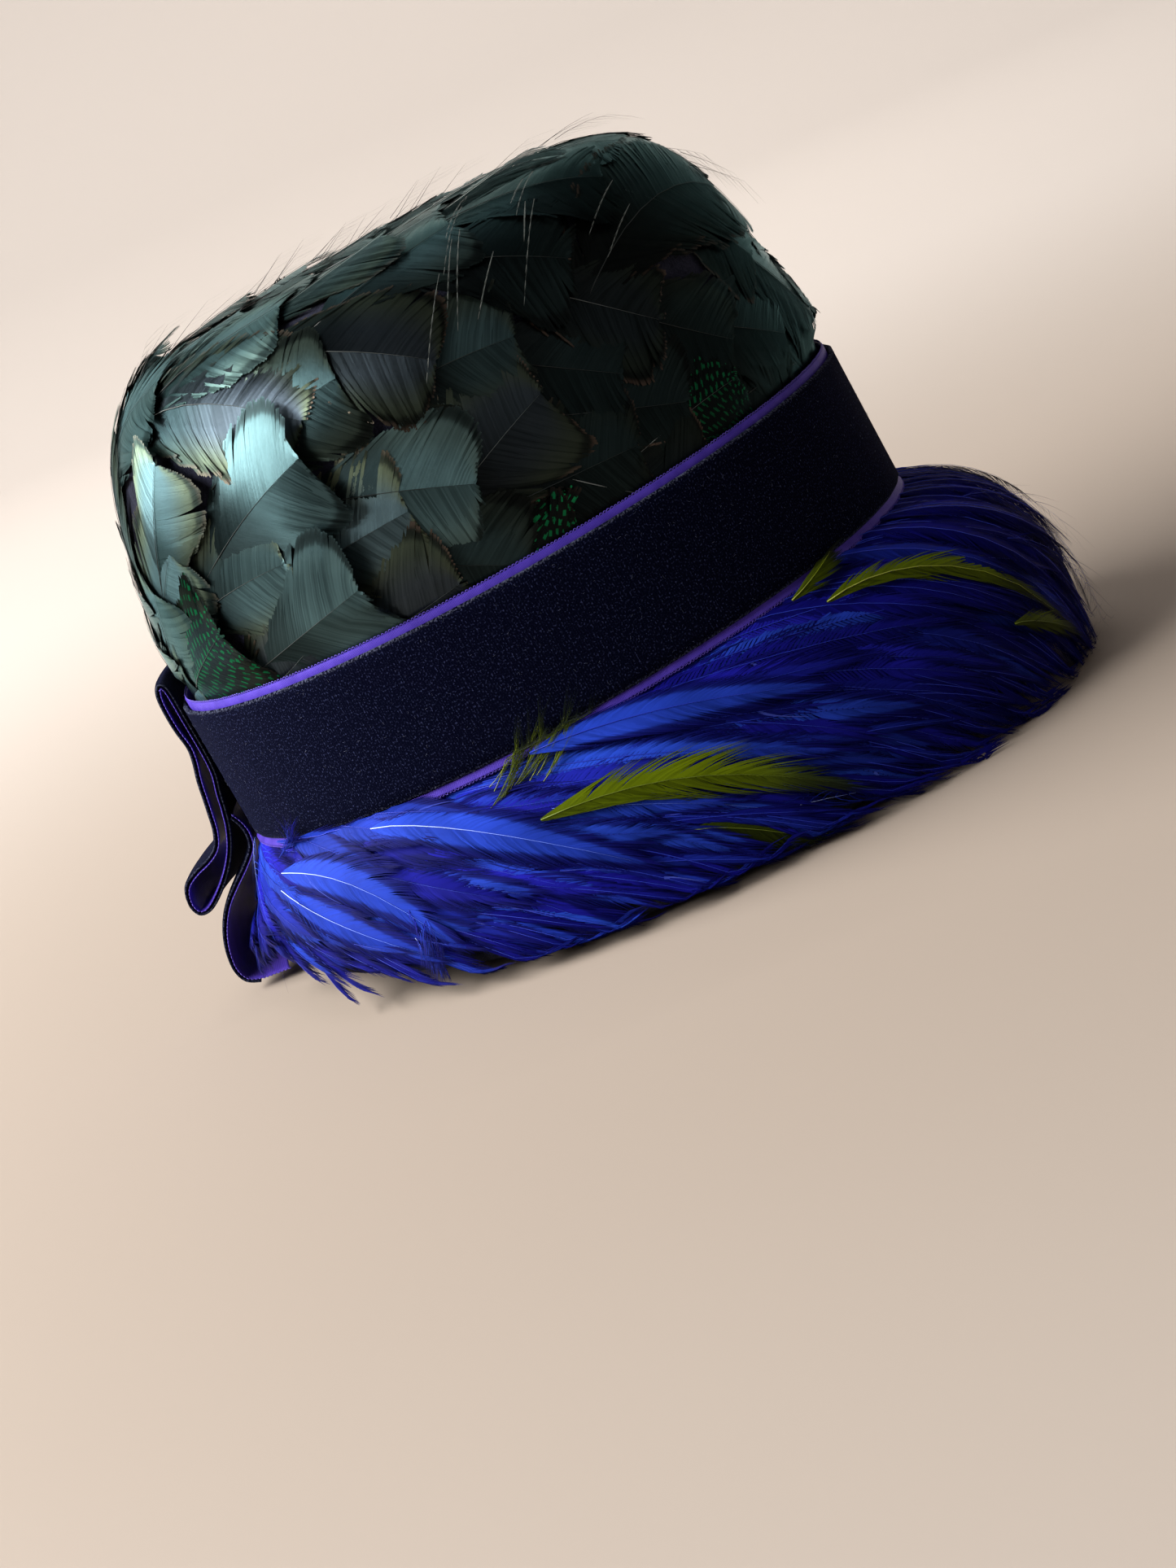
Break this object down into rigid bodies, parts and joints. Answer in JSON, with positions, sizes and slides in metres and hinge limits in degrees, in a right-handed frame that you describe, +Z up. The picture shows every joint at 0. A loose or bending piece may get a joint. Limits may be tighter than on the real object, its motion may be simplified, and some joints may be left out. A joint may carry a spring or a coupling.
{
  "type": "feather cloche hat",
  "caption": "Felt cloche hat with iridescent crown plumage, velvet band over satin ribbon, drooping blue feather brim and a ribbon bow at the back.",
  "frame": {"origin": "centre of the hat's bounding box, on the surface that it rests on", "axes": "+Z up, the wearer's front towards -Y, the wearer's right towards -X"},
  "size_m": [0.2214, 0.2656, 0.1859],
  "materials": {
    "felt": "matte pressed felt, near-black navy",
    "crown_plumage": "dark green-black feathers with a teal metallic sheen",
    "satin": "violet satin ribbon with looped edges",
    "velvet": "midnight navy velvet pile",
    "brim_plumage": "royal blue feather locks"
  },
  "bodies": {
    "root": {"felt_body": "felt", "crown_feathers": "crown_plumage", "satin_band": "satin", "velvet_band": "velvet", "brim_feathers": "brim_plumage", "bow_loop": "velvet", "bow_loop_satin": "satin", "bow_tail": "velvet", "bow_tail_satin": "satin"}
  },
  "joints": []
}
